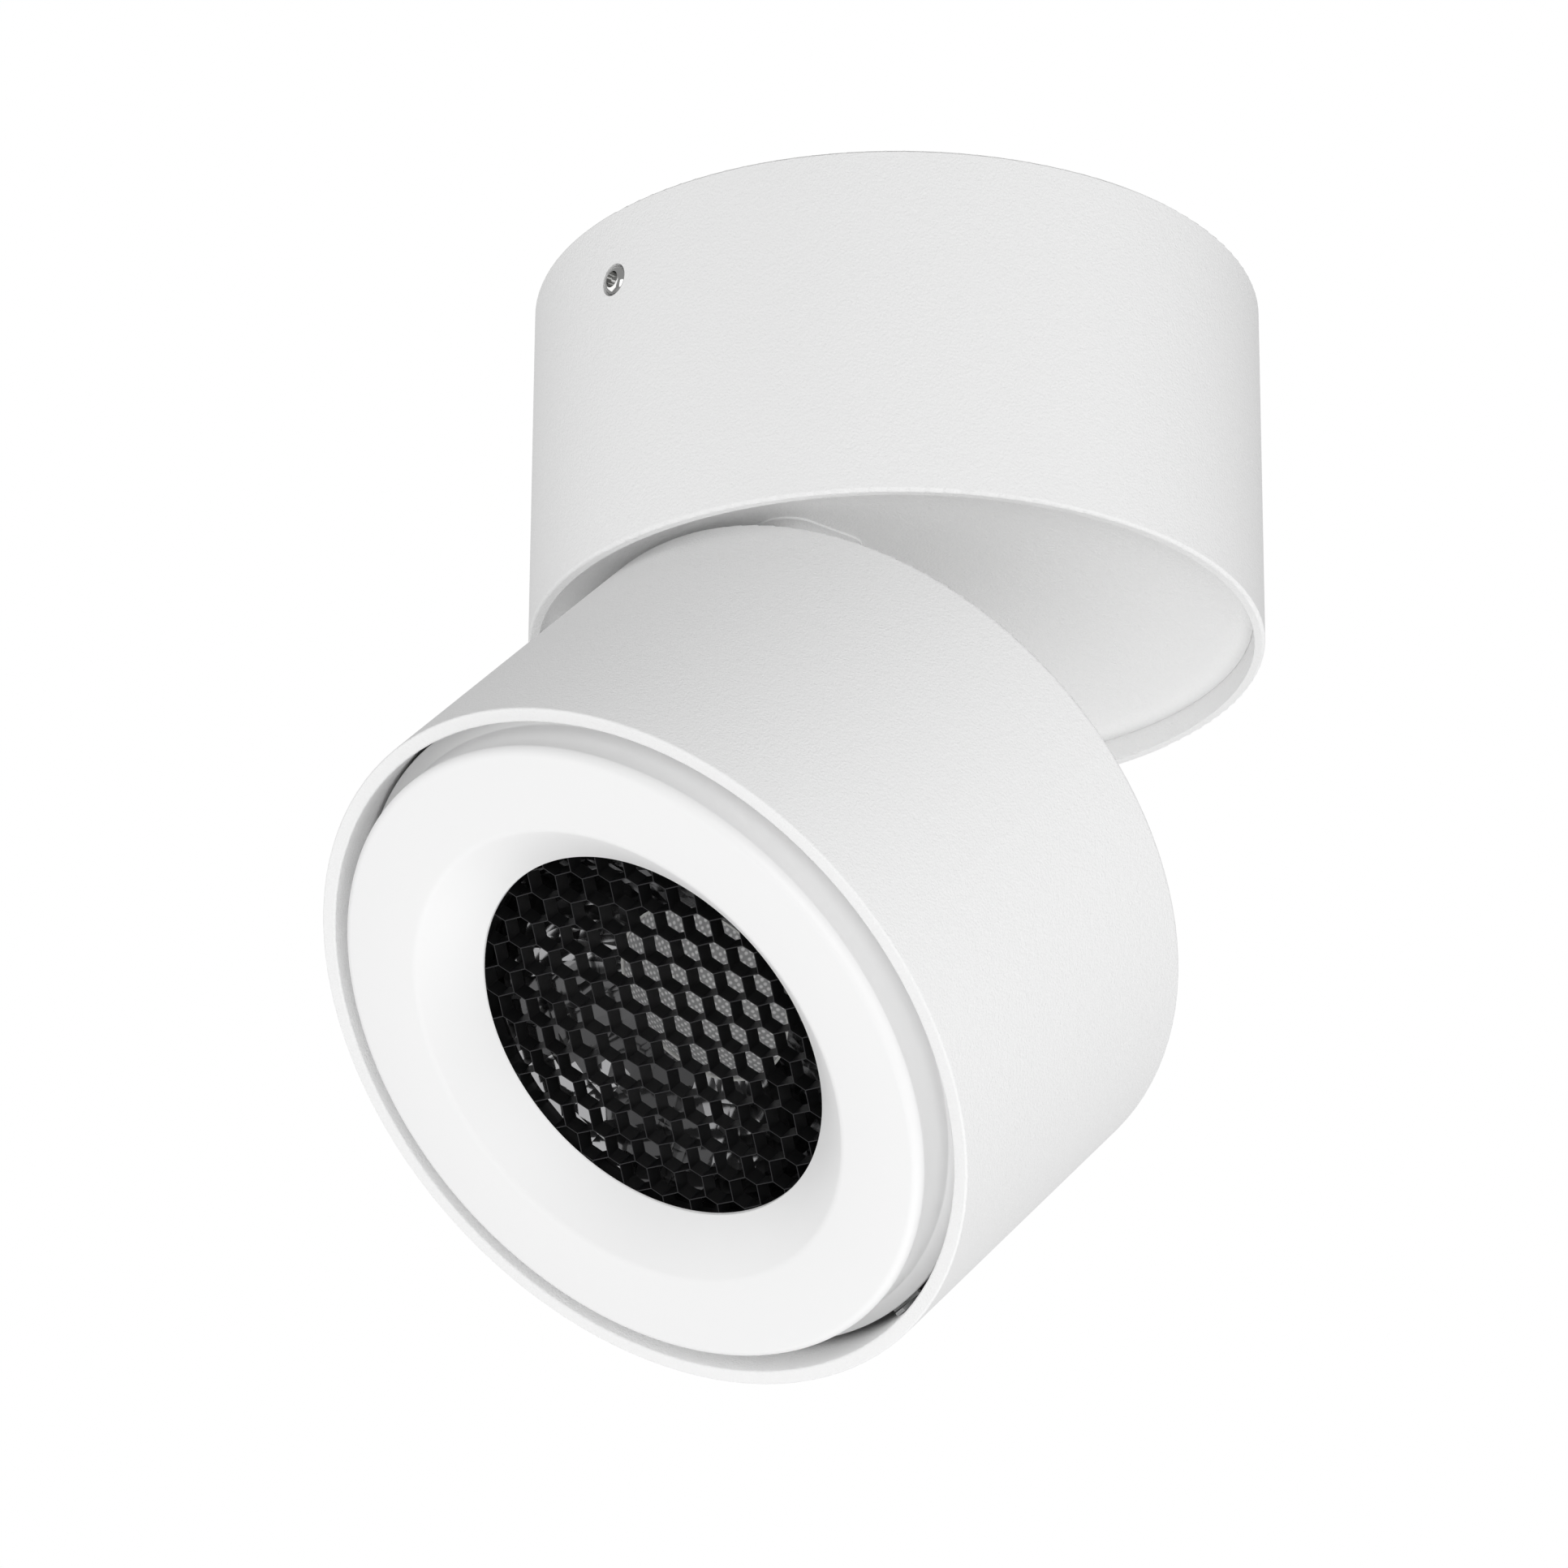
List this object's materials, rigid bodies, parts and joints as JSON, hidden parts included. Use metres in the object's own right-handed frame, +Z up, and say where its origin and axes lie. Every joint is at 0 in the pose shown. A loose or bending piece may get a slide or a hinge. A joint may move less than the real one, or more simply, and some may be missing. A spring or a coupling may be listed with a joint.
{
  "type": "ceiling spotlight",
  "caption": "Surface-mounted ceiling spotlight: a white drum base and an equal white drum head that turns and tilts on a hidden neck, with a front ring around a black honeycomb louvre.",
  "frame": {"origin": "centre of the ceiling plane, on the swivel axis and midway between the bracket's slots", "axes": "+Z up into the ceiling along the swivel axis; the head points to -Y at rest; the hinge lies along X"},
  "size_m": [0.1, 0.1296, 0.1552],
  "materials": {
    "white_powder_coat": "fine-grained white powder coat on aluminium",
    "white_painted_steel": "white painted sheet",
    "white_satin_lacquer": "smooth satin white lacquer on die casting",
    "black_anodised_foil": "black anodised foil",
    "zinc_plated_steel": "zinc plated",
    "nickel_plated_steel": "bright nickel plated",
    "spring_steel": "hardened strip",
    "nickel_brass": "nickel-plated brass",
    "black_rubber": "moulded rubber",
    "white_polycarbonate": "moulded, matt",
    "grey_polyamide": "moulded, matt",
    "grey_polyamide_clip": "moulded, matt",
    "grey_silicone": "soft pad",
    "green_circuit_board": "solder mask",
    "white_solder_mask": "white solder mask on aluminium",
    "yellow_phosphor": "phosphor in silicone",
    "cast_aluminium": "die cast, shot blasted",
    "clear_acrylic": "clear moulded, small dimples",
    "metallised_reflector": "vacuum metallised, faceted"
  },
  "bodies": {
    "base": {"base_shell": "white_powder_coat", "ceiling_bracket": "zinc_plated_steel", "supply_grommet": "black_rubber", "side_screws": "nickel_plated_steel", "driver_case": "white_polycarbonate", "driver_lid": "white_polycarbonate", "driver_board": "green_circuit_board", "driver_screws": "zinc_plated_steel", "terminal_block": "grey_polyamide", "terminal_screws": "nickel_brass", "earth_washer": "nickel_brass", "earth_screw": "zinc_plated_steel", "cable_clamp": "grey_polyamide", "clamp_screws": "zinc_plated_steel", "swivel_bush": "grey_polyamide"},
    "swivel": {"swivel_disc": "white_powder_coat", "swivel_stud": "zinc_plated_steel", "thrust_washer": "grey_polyamide", "spring_washer": "spring_steel", "stud_nut": "zinc_plated_steel", "stop_pin": "spring_steel", "neck": "white_powder_coat", "neck_screws": "zinc_plated_steel"},
    "head": {"head_shell": "white_powder_coat", "back_cover": "white_painted_steel", "cover_screws": "zinc_plated_steel", "lead_grommet": "black_rubber", "hinge_bracket": "zinc_plated_steel", "hinge_bracket_screws": "zinc_plated_steel", "hinge_pin": "zinc_plated_steel", "hinge_nut": "zinc_plated_steel", "hinge_washers": "grey_polyamide", "heat_sink": "cast_aluminium", "thermal_pad": "grey_silicone", "led_board": "white_solder_mask", "led_chip": "yellow_phosphor", "led_holder": "white_polycarbonate", "holder_screws": "zinc_plated_steel", "lens": "clear_acrylic", "reflector": "metallised_reflector", "louvre": "black_anodised_foil", "trim_ring": "white_satin_lacquer", "trim_clips": "grey_polyamide_clip", "clip_screws": "zinc_plated_steel"}
  },
  "joints": [
    {"name": "swivel_turn", "type": "hinge", "parent": "base", "child": "swivel", "pos_m": [0, 0, -0.045], "axis": [0, 0, 1], "range_deg": [-175, 175]},
    {"name": "head_tilt", "type": "hinge", "parent": "swivel", "child": "head", "pos_m": [0, -0.0417, -0.0586], "axis": [-1, 0, 0], "range_deg": [-44.8, 45.2]}
  ]
}
